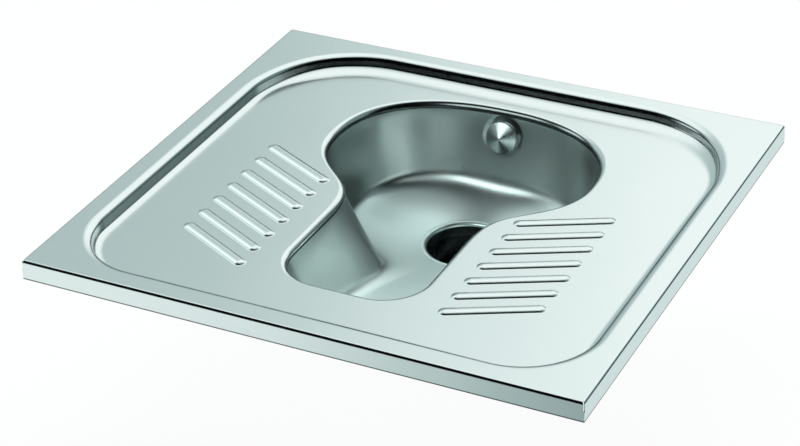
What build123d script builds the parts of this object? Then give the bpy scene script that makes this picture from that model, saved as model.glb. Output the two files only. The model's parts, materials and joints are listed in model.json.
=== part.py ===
from build123d import *
from functools import cache
import math
import os

# A recessed squat toilet pan in sheet steel. The origin is at the middle of the rim's top face, which is
# level with the finished floor. +X runs along the front edge, +Y to the back and +Z up. Millimetres.

os.makedirs("parts", exist_ok=True)

# Deck: one pressed sheet
sheet = 1.5
deck_length = 700.0
deck_width = 650.0
skirt_depth = 25.0
rim_bend = 3.0
slit_width = 1.6
slit_depth = 12.5
slit_reach = 3.5

# Recess in the deck: a dished wall between two equal bends
rim_width = 25.0
recess_depth = 18.0
recess_bend = 10.0
recess_wall_angle = 70.0
rear_corner_radius = 150.0
front_corner_radius = 98.0

# Embossed ribs that make the treads
rib_count = 7
rib_width = 16.0
rib_height = 2.0
rib_edge_bend = 1.5
rib_web = 1.1
rib_outer_x = 226.0
rib_inner_x = 132.0
rib_pitch = 34.4
rib_angle = 26.6
tread_rear_y = 51.0

# Bowl opening, measured on the deck at the start of the bend: a broad head and a straight trough
head_half_length = 181.0
head_rear_half_width = 142.0
head_front_half_width = 122.0
head_centre_y = 120.0
head_squareness = 2.3
trough_half_width = 95.5
trough_front_y = -216.0
trough_corner_radius = 62.0
waist_blend = 80.0
bowl_bend = 8.0
collar_straight = 1.0

# Bowl walls and floor
head_draft = 0.22
trough_draft = 0.42
rear_draft = 0.25
draft_ease = 8.0
floor_fall_front = 0.20
floor_fall_side = 0.20
floor_fall_rear = 0.55
floor_blend_share = 0.9
floor_blend_limit = 90.0
bowl_depth = 130.0
ring_points_count = 96
front_crowding = 0.5
wall_levels = (0.0, 0.08, 0.2, 0.34, 0.47, 0.57, 0.66, 0.74, 0.81, 0.87, 0.92, 0.96, 1.0)

# Outlet
outlet_centre_y = 130.0
outlet_radius = 51.0
lip_bend = 6.5
lip_land = 1.0
collar_length = 18.0
spigot_length = 70.0
spigot_end_radius = 50.0
spigot_end_length = 28.0
spigot_taper_length = 2.0
seal_length = 24.0
seal_thickness = 2.5
seal_lips = 3
seal_lip_height = 2.5
seal_lip_width = 3.0
seal_end_distance = 31.0

# Flush nozzle, along an axis square to the bowl's back wall
nozzle_depth = 36.0
seat_sink = 0.6
seat_radius = 25.0
seat_margin = 1.2
seat_thickness = 3.0
seat_clearing = 6.0
thread_radius = 16.6
hole_clearance = 0.4
turning_clearance = 0.05
gasket_width = 2.5
gasket_thickness = 1.5
flange_radius = 20.0
flange_thickness = 2.5
body_wall = 3.0
spider_hub_wall = 3.0
spider_arms = 3
spider_arm_width = 4.0
spider_thickness = 6.0
backing_width = 7.0
outer_gasket_thickness = 2.0
washer_thickness = 2.0
backnut_across_flats = 42.0
backnut_height = 9.0
body_tail = 16.0

# Spray head: domed cap on a threaded stem
stem_radius = 5.0
stem_overrun = 4.5
stem_seal_width = 2.5
spray_gap = 2.5
cap_radius = 21.0
cap_edge_height = 3.5
cap_edge_bend = 1.0
cap_dome_height = 6.0

# Flush inlet: union and tail pipe
inlet_seal_thickness = 2.0
inlet_collar_clearance = 0.6
inlet_collar_height = 3.0
inlet_pipe_radius = 14.0
inlet_pipe_wall = 1.5
inlet_pipe_length = 36.0
inlet_bead_height = 1.2
inlet_bead_width = 2.5
inlet_free_length = 24.0
union_across_flats = 41.0
union_grip = 8.0
union_lip_height = 3.5
union_lip_clearance = 0.3

# Stiffeners: hat sections under the deck
hat_height = 20.0
tread_hat_crown_width = 34.0
tread_hat_flange_width = 12.0
tread_hat_length = 250.0
tread_hat_y = -105.0
front_hat_crown_width = 20.0
front_hat_flange_width = 9.0
front_hat_length = 250.0
front_hat_distance = 34.0

# Anchor lugs under the deck's corners
lug_x = 256.0
lug_front_y = -205.0
lug_rear_y = 185.0
lug_width = 30.0
lug_thickness = 2.5
lug_bend = 1.5
lug_flange_width = 28.0
lug_drop = 38.0
lug_hole_radius = 4.5

# Sound-deadening pads
pad_thickness = 2.0
pad_width = 60.0
pad_length = 280.0
pad_x = 258.0
pad_y = -10.0

# Earth bonding point inside the rear skirt
earth_x = 120.0
earth_tab_width = 20.0
earth_tab_reach = 22.0
earth_tab_height = 15.0
earth_tab_thickness = 1.5
earth_tab_lift = 1.0
earth_bolt_radius = 3.0
earth_bolt_length = 14.0
earth_bolt_clearance = 0.3
earth_head_across_flats = 10.0
earth_head_height = 4.0
earth_washer_width = 3.0
earth_washer_thickness = 1.6
earth_nut_height = 5.0

# Levels and places that follow
floor_z = -recess_depth
underside_z = floor_z - sheet
seam_z = floor_z - bowl_bend - collar_straight
outlet_z = floor_z - bowl_depth
throat_radius = outlet_radius - sheet
lip_radius = throat_radius + lip_bend
form_depth = max(skirt_depth, -seam_z)
outlet_plane = Plane((0, outlet_centre_y, outlet_z))
outlet_section = Plane((0, outlet_centre_y, outlet_z), x_dir=(0, 1, 0), z_dir=(1, 0, 0))
tread_x = (rib_outer_x + rib_inner_x) / 2


def ray_length(inside, angle):
    """Distance from the outlet's axis, along a plan angle, to the edge of a region that surrounds it."""
    near, far = 0.0, deck_length
    for _ in range(30):
        middle = (near + far) / 2
        x = middle * math.cos(angle)
        y = outlet_centre_y + middle * math.sin(angle)
        if inside(abs(x), y):
            near = middle
        else:
            far = middle
    return near


def head_radius(angle, side_inset, rear_inset):
    def inside(x, y):
        rise = y - head_centre_y
        half_width = head_rear_half_width - rear_inset if rise > 0 else head_front_half_width - side_inset
        across = x / (head_half_length - side_inset)
        along = abs(rise) / half_width
        return across**head_squareness + along**head_squareness < 1

    return ray_length(inside, angle)


def trough_radius(angle, inset):
    corner = max(trough_corner_radius - inset, bowl_bend)

    def inside(x, y):
        past_side = x - (trough_half_width - inset - corner)
        past_front = trough_front_y + inset + corner - y
        corner_distance = math.hypot(max(past_side, 0), max(past_front, 0))
        return corner_distance + min(max(past_side, past_front), 0) < corner

    return ray_length(inside, angle)


@cache
def wall_radius(angle, z):
    """Plan radius of the bowl's wall at a level, as if the wall ran on below the floor."""
    drop = max(seam_z - z, 0)
    eased = drop - draft_ease * (1 - math.exp(-drop / draft_ease))
    head = head_radius(angle, bowl_bend + head_draft * eased, bowl_bend + rear_draft * eased)
    if math.sin(angle) >= 0:
        return head
    trough = trough_radius(angle, bowl_bend + trough_draft * eased)
    overlap = max(waist_blend - abs(head - trough), 0) / waist_blend
    return max(head, trough) + overlap**2 * waist_blend / 4


def bowl_radius(angle, z):
    """Plan radius of the bowl's inner face: its wall, blended into a floor that falls to the outlet."""
    to_rear = math.sin(angle)
    end_fall = floor_fall_rear if to_rear > 0 else floor_fall_front
    fall = floor_fall_side + (end_fall - floor_fall_side) * to_rear**2
    floor = lip_radius + lip_land + (z - outlet_z) / fall
    wall = wall_radius(angle, z)
    room = wall_radius(angle, outlet_z) - lip_radius - lip_land
    blend = min(floor_blend_share * room, floor_blend_limit)
    overlap = max(blend - abs(wall - floor), 0) / blend
    return min(wall, floor) - overlap**3 * blend / 6


def bowl_ring(z, grow):
    """Points around the bowl's inner face at a level, crowded along the trough and moved out square to it."""
    points = []
    step = 0.01
    for index in range(ring_points_count):
        turn = 2 * math.pi * index / ring_points_count
        angle = math.pi / 2 + turn + front_crowding * math.sin(turn)
        radius = bowl_radius(angle, z)
        slope = (bowl_radius(angle + step, z) - bowl_radius(angle - step, z)) / (2 * step)
        span = math.hypot(radius, slope)
        out = radius + grow * radius / span
        side = -grow * slope / span
        x = out * math.cos(angle) - side * math.sin(angle)
        y = out * math.sin(angle) + side * math.cos(angle)
        points.append((x, outlet_centre_y + y))
    return points


def bowl_form(grow):
    """The space inside the bowl and its outlet collar, or with its sheet grown on all round and below."""
    end_z = grow - sheet - collar_length
    tube_radius = throat_radius + grow
    with BuildPart() as form:
        for level in wall_levels:
            z = seam_z + (outlet_z - seam_z) * level
            lowered = grow if level > 0 else 0
            with BuildSketch(Plane.XY.offset(z - lowered)):
                with BuildLine():
                    Spline(*bowl_ring(z, grow), periodic=True)
                make_face()
        loft()
        with BuildSketch(outlet_section):
            with BuildLine():
                CenterArc((lip_radius, -lip_bend), lip_bend - grow, 90, 90)
                Polyline(
                    (tube_radius, -lip_bend),
                    (tube_radius, end_z),
                    (0, end_z),
                    (0, -grow),
                    (lip_radius, -grow),
                )
            make_face()
        revolve(axis=Axis(outlet_section.origin, outlet_section.y_dir))
    return form.part


def at_height(part, z, kinds):
    """Edges of some kinds that lie level at a height."""
    near = 0.01
    level = part.edges().filter_by_position(Axis.Z, z - near, z + near)
    return level.filter_by(lambda edge: edge.geom_type in kinds)


def rib_places(side):
    """Middle of each rib and the way it runs, on one side of the deck."""
    half_fall = (rib_outer_x - rib_inner_x) / 2 * math.tan(math.radians(rib_angle))
    rows = [tread_rear_y - half_fall - rib_pitch * row for row in range(rib_count)]
    return [Location((side * tread_x, y), side * rib_angle) for y in rows]


def deck_form(skin):
    """The solid under the deck's top face, or with skin set to the sheet under its underside."""
    brim_shift = recess_bend * math.tan(math.radians(recess_wall_angle / 2))
    skin_shift = skin * math.tan(math.radians(recess_wall_angle / 2))
    rim_inset = rim_width + brim_shift - skin_shift
    rib_length = (rib_outer_x - rib_inner_x) / math.cos(math.radians(rib_angle)) + rib_width
    narrowing = 2 * rib_web * skin / sheet
    with BuildPart() as form:
        with BuildSketch(Plane.XY.offset(-skin)):
            Rectangle(deck_length - 2 * skin, deck_width - 2 * skin)
        extrude(amount=-form_depth)
        fillet(at_height(form, -skin, [GeomType.LINE]), rim_bend - skin)
        with BuildSketch(Plane.XY.offset(-skin)):
            Rectangle(deck_length - 2 * rim_inset, deck_width - 2 * rim_inset)
            fillet(vertices().group_by(Axis.Y)[-1], rear_corner_radius - brim_shift + skin_shift)
            fillet(vertices().group_by(Axis.Y)[0], front_corner_radius - brim_shift + skin_shift)
        extrude(amount=-recess_depth, taper=90 - recess_wall_angle, mode=Mode.SUBTRACT)
        fillet(form.edges(Select.LAST).group_by(Axis.Z)[-1], recess_bend - skin)
        fillet(at_height(form, floor_z - skin, [GeomType.LINE, GeomType.CIRCLE]), recess_bend + skin)
        with BuildSketch(Plane.XY.offset(floor_z - skin)):
            for side in (-1, 1):
                with Locations(*rib_places(side)):
                    SlotOverall(rib_length - narrowing, rib_width - narrowing)
        extrude(amount=rib_height)
        fillet(at_height(form, floor_z - skin + rib_height, [GeomType.LINE, GeomType.CIRCLE]), rib_edge_bend)
        with BuildSketch(Plane.XY.offset(-skin)):
            with BuildLine():
                Spline(*bowl_ring(seam_z, skin), periodic=True)
            make_face()
        extrude(amount=-2 * form_depth, mode=Mode.SUBTRACT)
        fillet(at_height(form, floor_z - skin, [GeomType.BSPLINE]), bowl_bend - skin)
    return form.part


def deck_panel_part():
    """The pressed sheet between its two faces, cut back to the skirt's edge and to the bowl's seam."""
    core_length = deck_length - 2 * rim_width
    core_width = deck_width - 2 * rim_width
    with BuildPart() as deck_panel:
        add(deck_form(0))
        add(deck_form(sheet), mode=Mode.SUBTRACT)
        with BuildSketch(Plane.XY.offset(-skirt_depth)):
            Rectangle(deck_length, deck_width)
            Rectangle(core_length, core_width, mode=Mode.SUBTRACT)
        extrude(amount=-form_depth, mode=Mode.SUBTRACT)
        with BuildSketch(Plane.XY.offset(seam_z)):
            Rectangle(core_length, core_width)
        extrude(amount=-form_depth, mode=Mode.SUBTRACT)
        for end in (-1, 1):
            for side in (-1, 1):
                corner = (end * deck_length / 2, side * deck_width / 2, -slit_depth / 2)
                with Locations(Location(corner, (0, 0, 45 * end * side))):
                    Box(2 * slit_reach, slit_width, slit_depth, mode=Mode.SUBTRACT)
    return deck_panel.part


def bowl_part(seat):
    """The drawn shell, with its outlet collar and a flat seat for the nozzle, sunk into the back wall."""
    with BuildPart() as bowl:
        add(bowl_form(sheet))
        with BuildSketch(seat.offset(-seat_thickness)):
            Circle(seat_radius + seat_margin)
        extrude(amount=seat_thickness + seat_clearing)
        add(bowl_form(0), mode=Mode.SUBTRACT)
        with BuildSketch(seat):
            Circle(seat_radius)
        extrude(amount=seat_clearing, mode=Mode.SUBTRACT)
        with BuildSketch(seat):
            Circle(thread_radius + hole_clearance)
        extrude(amount=-2 * seat_thickness, mode=Mode.SUBTRACT)
    return bowl.part


def tube(plane, start, end, outer_radius, inner_radius):
    """A ring or tube between two places along a plane's normal."""
    with BuildPart() as ring:
        with BuildSketch(plane.offset(start)):
            Circle(outer_radius)
            Circle(inner_radius, mode=Mode.SUBTRACT)
        extrude(amount=end - start)
    return ring.part


def hex_nut(plane, start, end, across_flats, bore_radius):
    with BuildPart() as nut:
        with BuildSketch(plane.offset(start)):
            RegularPolygon(across_flats / 2, 6, major_radius=False)
            Circle(bore_radius, mode=Mode.SUBTRACT)
        extrude(amount=end - start)
    return nut.part


def outlet_spigot_part():
    """A tube welded under the bowl's collar, drawn in at its free end, as a half section that is revolved."""
    end_z = -collar_length - spigot_length
    shoulder_z = end_z + spigot_end_length
    with BuildPart() as outlet_spigot:
        with BuildSketch(outlet_section):
            with BuildLine():
                Polyline(
                    (outlet_radius, -collar_length),
                    (outlet_radius, shoulder_z + spigot_taper_length),
                    (spigot_end_radius, shoulder_z),
                    (spigot_end_radius, end_z),
                    (spigot_end_radius - sheet, end_z),
                    (spigot_end_radius - sheet, shoulder_z),
                    (throat_radius, shoulder_z + spigot_taper_length),
                    (throat_radius, -collar_length),
                    close=True,
                )
            make_face()
        revolve(axis=Axis(outlet_section.origin, outlet_section.y_dir))
    return outlet_spigot.part


def outlet_seal_part():
    """A rubber sleeve on the spigot, with lips that press into the soil pipe."""
    start = seal_end_distance - collar_length - spigot_length
    with BuildPart() as outlet_seal:
        add(tube(outlet_plane, start, start + seal_length, outlet_radius + seal_thickness, outlet_radius))
        for lip in range(seal_lips):
            lip_start = start + lip * (seal_length - seal_lip_width) / (seal_lips - 1)
            with BuildSketch(outlet_plane.offset(lip_start)):
                Circle(outlet_radius + seal_thickness + seal_lip_height)
                Circle(outlet_radius, mode=Mode.SUBTRACT)
            extrude(amount=seal_lip_width)
    return outlet_seal.part


def nozzle_body_part(seat, flange_face, body_end):
    """A flanged, threaded tube with a spider in its mouth that holds the spray head's stem."""
    hub_bore = stem_radius + turning_clearance
    bore = thread_radius - body_wall
    with BuildPart() as nozzle_body:
        add(tube(seat, body_end, flange_face, thread_radius, bore))
        add(tube(seat, gasket_thickness, flange_face, flange_radius, bore))
        with BuildSketch(seat.offset(flange_face - spider_thickness)):
            Circle(hub_bore + spider_hub_wall)
            with PolarLocations((hub_bore + thread_radius) / 2, spider_arms):
                Rectangle(thread_radius - hub_bore, spider_arm_width)
            Circle(hub_bore, mode=Mode.SUBTRACT)
            Circle(thread_radius - body_wall / 2, mode=Mode.INTERSECT)
        extrude(amount=spider_thickness)
    return nozzle_body.part


def spray_head_part(section, cap_back):
    """A domed cap with its threaded stem, drawn as a half section that is turned about the nozzle's axis."""
    edge_top = cap_back + cap_edge_height
    stem_end = cap_back - spray_gap - spider_thickness - stem_overrun
    with BuildPart() as spray_head:
        with BuildSketch(section):
            with BuildLine():
                Polyline(
                    (0, edge_top + cap_dome_height),
                    (0, stem_end),
                    (stem_radius, stem_end),
                    (stem_radius, cap_back),
                    (cap_radius, cap_back),
                    (cap_radius, edge_top),
                )
                TangentArc((0, edge_top + cap_dome_height), (cap_radius, edge_top), tangent=(1, 0))
            make_face()
        revolve(axis=Axis(section.origin, section.y_dir))
        rims = spray_head.edges().filter_by(GeomType.CIRCLE).sort_by(SortBy.RADIUS)[-2:]
        fillet(rims, cap_edge_bend)
    return spray_head.part


def union_nut_part(seat, front, shoulder):
    """A hexagon nut that screws on the body's tail and draws up the inlet pipe's collar with its lip."""
    with BuildPart() as union_nut:
        add(hex_nut(seat, shoulder, front, union_across_flats, thread_radius + turning_clearance))
        lip_bore = inlet_pipe_radius + union_lip_clearance
        add(hex_nut(seat, shoulder - union_lip_height, shoulder, union_across_flats, lip_bore))
    return union_nut.part


def hat_section(length, crown_width, flange_width):
    """A hat-shaped strip along Y, open to the top, with the faces of its flanges at z = 0."""
    half_crown = crown_width / 2
    half_width = half_crown + flange_width
    with BuildPart() as hat:
        with BuildSketch(Plane.XZ.offset(-length / 2)):
            with BuildLine():
                Polyline(
                    (-half_width, 0),
                    (-half_crown, 0),
                    (-half_crown, sheet - hat_height),
                    (half_crown, sheet - hat_height),
                    (half_crown, 0),
                    (half_width, 0),
                    (half_width, -sheet),
                    (half_crown + sheet, -sheet),
                    (half_crown + sheet, -hat_height),
                    (-half_crown - sheet, -hat_height),
                    (-half_crown - sheet, -sheet),
                    (-half_width, -sheet),
                    close=True,
                )
            make_face()
        extrude(amount=length)
    return hat.part


def anchor_lug_part():
    """A Z-shaped lug: a flange under the deck, a leg, and a foot with a bolt hole that points to +X."""
    with BuildPart() as lug:
        with BuildSketch(Plane.XZ.offset(-lug_width / 2)):
            with BuildLine():
                Polyline(
                    (-lug_flange_width, 0),
                    (lug_thickness, 0),
                    (lug_thickness, lug_thickness - lug_drop),
                    (lug_flange_width, lug_thickness - lug_drop),
                    (lug_flange_width, -lug_drop),
                    (0, -lug_drop),
                    (0, -lug_thickness),
                    (-lug_flange_width, -lug_thickness),
                    close=True,
                )
            make_face()
        extrude(amount=lug_width)
        bends = lug.edges().filter_by(Axis.Y).filter_by(lambda edge: abs(edge.center().X) < lug_thickness * 2)
        fillet(bends, lug_bend)
        with Locations(((lug_thickness + lug_flange_width) / 2, 0, lug_thickness - lug_drop)):
            Hole(lug_hole_radius, 2 * lug_thickness)
    return lug.part


def placed(part, x, y, turn):
    """A part set under the deck, turned about the vertical."""
    with BuildPart() as copy:
        with Locations(Location((x, y, underside_z), (0, 0, turn))):
            add(part)
    return copy.part


def damping_pad_part(x):
    with BuildPart() as pad:
        with BuildSketch(Plane((x, pad_y, underside_z))):
            Rectangle(pad_width, pad_length)
        extrude(amount=-pad_thickness)
    return pad.part


def earth_tab_part(leg_face_y, foot_z, hole_y):
    """An L-shaped tab on the skirt's inner face, with a hole for the bonding bolt."""
    with BuildPart() as earth_tab:
        with BuildSketch(Plane.YZ.offset(earth_x - earth_tab_width / 2)):
            with BuildLine():
                Polyline(
                    (leg_face_y, foot_z),
                    (leg_face_y, foot_z + earth_tab_height),
                    (leg_face_y - earth_tab_thickness, foot_z + earth_tab_height),
                    (leg_face_y - earth_tab_thickness, foot_z + earth_tab_thickness),
                    (leg_face_y - earth_tab_reach, foot_z + earth_tab_thickness),
                    (leg_face_y - earth_tab_reach, foot_z),
                    close=True,
                )
            make_face()
        extrude(amount=earth_tab_width)
        with Locations((earth_x, hole_y, foot_z + earth_tab_thickness)):
            Hole(earth_bolt_radius + earth_bolt_clearance, 2 * earth_tab_thickness)
    return earth_tab.part


def earth_bolt_part(top_face):
    with BuildPart() as earth_bolt:
        with BuildSketch(top_face):
            RegularPolygon(earth_head_across_flats / 2, 6, major_radius=False)
        extrude(amount=earth_head_height)
        with BuildSketch(top_face):
            Circle(earth_bolt_radius)
        extrude(amount=-earth_bolt_length)
    return earth_bolt.part


def save(part, name):
    part.label = name
    export_step(part, f"parts/{name}.step")


# Nozzle seat: sunk a little into the back wall and square to it
seat_z = floor_z - nozzle_depth
rear = math.pi / 2
wall_lean = math.atan((bowl_radius(rear, seat_z + 1) - bowl_radius(rear, seat_z - 1)) / 2)
into_bowl = Vector(0, -math.cos(wall_lean), math.sin(wall_lean))
seat_point = Vector(0, outlet_centre_y + bowl_radius(rear, seat_z), seat_z) - into_bowl * seat_sink
seat_plane = Plane(origin=seat_point, x_dir=(1, 0, 0), z_dir=into_bowl)
section_normal = Vector(0, -math.sin(wall_lean), -math.cos(wall_lean))
section_plane = Plane(origin=seat_point, x_dir=(1, 0, 0), z_dir=section_normal)

# Places along the nozzle's axis, positive into the bowl
flange_face = gasket_thickness + flange_thickness
cap_back = flange_face + spray_gap
outer_gasket_end = -seat_thickness - outer_gasket_thickness
washer_end = outer_gasket_end - washer_thickness
backnut_end = washer_end - backnut_height
body_end = backnut_end - body_tail
inlet_start = body_end - inlet_seal_thickness
collar_end = inlet_start - inlet_collar_height
hole_radius = thread_radius + hole_clearance
nut_bore = thread_radius + turning_clearance
stem_bore = stem_radius + turning_clearance
backing_radius = thread_radius + backing_width
collar_radius = thread_radius - inlet_collar_clearance
pipe_bore = inlet_pipe_radius - inlet_pipe_wall

save(deck_panel_part(), "deck_panel")
save(bowl_part(seat_plane), "bowl")

save(tube(seat_plane, 0, gasket_thickness, hole_radius + gasket_width, hole_radius), "nozzle_gasket")
save(nozzle_body_part(seat_plane, flange_face, body_end), "nozzle_body")
save(spray_head_part(section_plane, cap_back), "spray_head")
save(tube(seat_plane, flange_face, cap_back, stem_bore + stem_seal_width, stem_bore), "stem_seal")
save(tube(seat_plane, outer_gasket_end, -seat_thickness, backing_radius, hole_radius), "nozzle_outer_gasket")
save(tube(seat_plane, washer_end, outer_gasket_end, backing_radius, hole_radius), "nozzle_washer")
save(hex_nut(seat_plane, backnut_end, washer_end, backnut_across_flats, nut_bore), "nozzle_backnut")

save(tube(seat_plane, inlet_start, body_end, collar_radius, pipe_bore), "inlet_seal")
with BuildPart() as inlet_pipe:
    pipe_end = inlet_start - inlet_pipe_length
    bead_start = pipe_end + inlet_free_length
    bead_radius = inlet_pipe_radius + inlet_bead_height
    add(tube(seat_plane, pipe_end, inlet_start, inlet_pipe_radius, pipe_bore))
    add(tube(seat_plane, collar_end, inlet_start, collar_radius, pipe_bore))
    add(tube(seat_plane, bead_start, bead_start + inlet_bead_width, bead_radius, pipe_bore))
save(inlet_pipe.part, "inlet_pipe")
save(union_nut_part(seat_plane, body_end + union_grip, collar_end), "inlet_union_nut")

save(outlet_spigot_part(), "outlet_spigot")
save(outlet_seal_part(), "outlet_seal")

tread_hat = hat_section(tread_hat_length, tread_hat_crown_width, tread_hat_flange_width)
front_hat = hat_section(front_hat_length, front_hat_crown_width, front_hat_flange_width)
save(placed(front_hat, 0, trough_front_y - front_hat_distance, 90), "front_stiffener")
anchor_lug = anchor_lug_part()
for side, side_name, turn in ((-1, "left", 180), (1, "right", 0)):
    save(placed(tread_hat, side * tread_x, tread_hat_y, 0), f"tread_stiffener_{side_name}")
    save(placed(anchor_lug, side * lug_x, lug_front_y, turn), f"anchor_lug_front_{side_name}")
    save(placed(anchor_lug, side * lug_x, lug_rear_y, turn), f"anchor_lug_rear_{side_name}")
    save(damping_pad_part(side * pad_x), f"damping_pad_{side_name}")

skirt_face_y = deck_width / 2 - sheet
earth_foot_z = earth_tab_lift - skirt_depth
earth_hole_y = skirt_face_y - (earth_tab_reach + earth_tab_thickness) / 2
earth_top = Plane((earth_x, earth_hole_y, earth_foot_z + earth_tab_thickness))
earth_under = Plane((earth_x, earth_hole_y, earth_foot_z))
earth_bore = earth_bolt_radius + turning_clearance
earth_washer_radius = earth_bolt_radius + earth_washer_width
earth_nut_start = -earth_washer_thickness
earth_nut_end = earth_nut_start - earth_nut_height
save(earth_tab_part(skirt_face_y, earth_foot_z, earth_hole_y), "earth_tab")
save(earth_bolt_part(earth_top), "earth_bolt")
save(tube(earth_under, earth_nut_start, 0, earth_washer_radius, earth_bore), "earth_washer")
save(hex_nut(earth_under, earth_nut_end, earth_nut_start, earth_head_across_flats, earth_bore), "earth_nut")
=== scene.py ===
import json
import math

import bpy
import numpy as np
from mathutils import Matrix, Vector
from mathutils.geometry import delaunay_2d_cdt


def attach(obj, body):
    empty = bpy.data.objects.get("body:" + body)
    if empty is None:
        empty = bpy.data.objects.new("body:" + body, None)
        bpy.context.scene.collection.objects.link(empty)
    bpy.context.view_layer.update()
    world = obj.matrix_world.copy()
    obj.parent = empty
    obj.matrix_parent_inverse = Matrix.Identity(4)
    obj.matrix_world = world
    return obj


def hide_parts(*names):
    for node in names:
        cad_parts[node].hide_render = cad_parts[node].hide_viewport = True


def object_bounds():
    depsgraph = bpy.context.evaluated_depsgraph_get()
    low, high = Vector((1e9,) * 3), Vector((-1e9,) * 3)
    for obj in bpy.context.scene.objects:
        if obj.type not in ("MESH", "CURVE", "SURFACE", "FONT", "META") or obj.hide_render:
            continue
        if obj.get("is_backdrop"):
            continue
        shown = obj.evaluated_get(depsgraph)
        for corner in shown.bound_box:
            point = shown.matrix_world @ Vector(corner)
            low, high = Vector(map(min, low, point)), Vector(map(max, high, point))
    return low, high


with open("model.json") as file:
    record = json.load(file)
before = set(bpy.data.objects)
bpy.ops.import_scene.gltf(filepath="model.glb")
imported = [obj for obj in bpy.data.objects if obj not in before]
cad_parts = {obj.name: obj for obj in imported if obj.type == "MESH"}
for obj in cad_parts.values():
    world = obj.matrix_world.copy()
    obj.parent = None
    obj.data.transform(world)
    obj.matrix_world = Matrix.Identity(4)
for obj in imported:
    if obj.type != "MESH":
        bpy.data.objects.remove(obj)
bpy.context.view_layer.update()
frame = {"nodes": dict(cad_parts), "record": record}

# Sizes of the pan in millimetres, which build_piece turns into metres. They are the CAD's, except where the
# visual model follows the photo more closely: the deck's outer bend, the recess's wall, the ribs' width and
# height, the nozzle's seat and the cap.
MM = 0.001
SHEET = 1.5
DECK_LENGTH = 700.0
DECK_WIDTH = 650.0
SKIRT_DEPTH = 25.0
RIM_BEND = 3.4
SLIT_WIDTH = 1.6
SLIT_DEPTH = 12.5
SLIT_REACH = 3.5
SLIT_EASE = 0.6
RIM_WIDTH = 25.0
RECESS_DEPTH = 18.0
# The recess starts with a soft bend, turns tightly into its steep wall, and ends in a soft foot. Each of its
# two walls has a tilt, and then the radii of its soft top, tight top, tight foot and soft foot. The sides'
# wall turns into the rear's at the corners, over a range of how far the recess's edge faces the rear.
RECESS_START = 17.6
RECESS_SIDE_SHIFT = 4.5
RECESS_SOFT_TILT = 27.0
RECESS_SIDES = (78.0, 19.5, 6.0, 2.5, 20.0)
RECESS_REAR = (72.5, 20.6, 7.0, 3.5, 45.0)
RECESS_TURN_START = 0.25
RECESS_TURN_RANGE = 0.6
REAR_CORNER_RADIUS = 150.0
FRONT_CORNER_RADIUS = 98.0

RIB_COUNT = 7
RIB_WIDTH = 17.5
RIB_OUTER_X = 226.0
RIB_INNER_X = 132.0
RIB_PITCH = 34.4
RIB_ANGLE = 26.6
TREAD_REAR_Y = 51.0
RIB_FLANK_ANGLE = 35.0
RIB_BASE_BEND = 2.5

HEAD_HALF_LENGTH = 181.0
HEAD_REAR_HALF_WIDTH = 142.0
HEAD_FRONT_HALF_WIDTH = 122.0
HEAD_CENTRE_Y = 120.0
HEAD_SQUARENESS = 2.3
TROUGH_HALF_WIDTH = 95.5
TROUGH_FRONT_Y = -216.0
TROUGH_CORNER_RADIUS = 62.0
WAIST_BLEND = 80.0
BOWL_BEND = 8.0
COLLAR_STRAIGHT = 1.0
HEAD_DRAFT = 0.22
TROUGH_DRAFT = 0.42
REAR_DRAFT = 0.25
DRAFT_EASE = 8.0
FLOOR_FALL_FRONT = 0.20
FLOOR_FALL_SIDE = 0.20
FLOOR_FALL_REAR = 0.55
FLOOR_BLEND_SHARE = 0.9
FLOOR_BLEND_LIMIT = 90.0
BOWL_DEPTH = 130.0

OUTLET_Y = 130.0
OUTLET_RADIUS = 51.0
LIP_BEND = 6.5
LIP_LAND = 1.0
COLLAR_LENGTH = 18.0

NOZZLE_DEPTH = 36.0
SEAT_SINK = 0.6
SEAT_RADIUS = 22.0
SEAT_THICKNESS = 3.0
SEAT_EASE = 7.0
SEAT_MARGIN = 1.2
SEAT_REACH = 12.0
NOZZLE_HOLE_RADIUS = 17.0
# Places along the nozzle's axis are measured from the seat's face into the bowl
CAP_BACK = 6.5
CAP_RADIUS = 21.0
CAP_EDGE_HEIGHT = 3.5
CAP_EDGE_BEND = 0.6
CAP_CONE_ANGLE = 23.0
CAP_TIP_BEND = 5.0
CAP_CHAMFER = 0.5
STEM_RADIUS = 5.0
STEM_END = -6.5

FLOOR_Z = -RECESS_DEPTH
SEAM_Z = FLOOR_Z - BOWL_BEND - COLLAR_STRAIGHT
OUTLET_Z = FLOOR_Z - BOWL_DEPTH
THROAT_RADIUS = OUTLET_RADIUS - SHEET
LIP_RADIUS = THROAT_RADIUS + LIP_BEND

# How finely the smooth shapes are cut into faces, and how much the bowl's crowd together
BOWL_STEPS = 480
BOWL_LEVELS = 100
FRONT_CROWDING = 0.5
LEVEL_CROWDING = 1.25
HALVINGS = 34
CORNER_STEPS = 40
BEND_STEPS = 10
RIB_BASE_STEPS = 5
RIB_BACK_STEPS = 14
RIB_END_STEPS = 12
CAP_TIP_STEPS = 10
CAP_SHOULDER_STEPS = 8
LATHE_STEPS = 96
DRAIN_STEPS = 48
# Where each of the deck's edges is cut, from one end at -1 to the other at 1
EDGE_SHARES = (-1, -0.98, -0.5, 0, 0.5, 0.98, 1)
# Corners that agree to this many decimals of a millimetre become one
WELD_DECIMALS = 3
# How a flat is filled: with the triangles inside its outlines, to a tolerance in millimetres
FILL_INSIDE = 1
FILL_TOLERANCE = 1e-4
UP = np.array([0.0, 0.0, 1.0])


# ---------------------------------------------------------------- mesh tools


def grid_patch(points, normals, wrap=False):
    """Quads between a grid's rows and columns of points, with the surface's normal at each corner."""
    if wrap:
        points = np.concatenate([points, points[:, :1]], axis=1)
        normals = np.concatenate([normals, normals[:, :1]], axis=1)

    def quads(a):
        return np.stack([a[:-1, :-1], a[1:, :-1], a[1:, 1:], a[:-1, 1:]], axis=2).reshape(-1, 4, 3)

    return quads(points), quads(normals)


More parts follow.
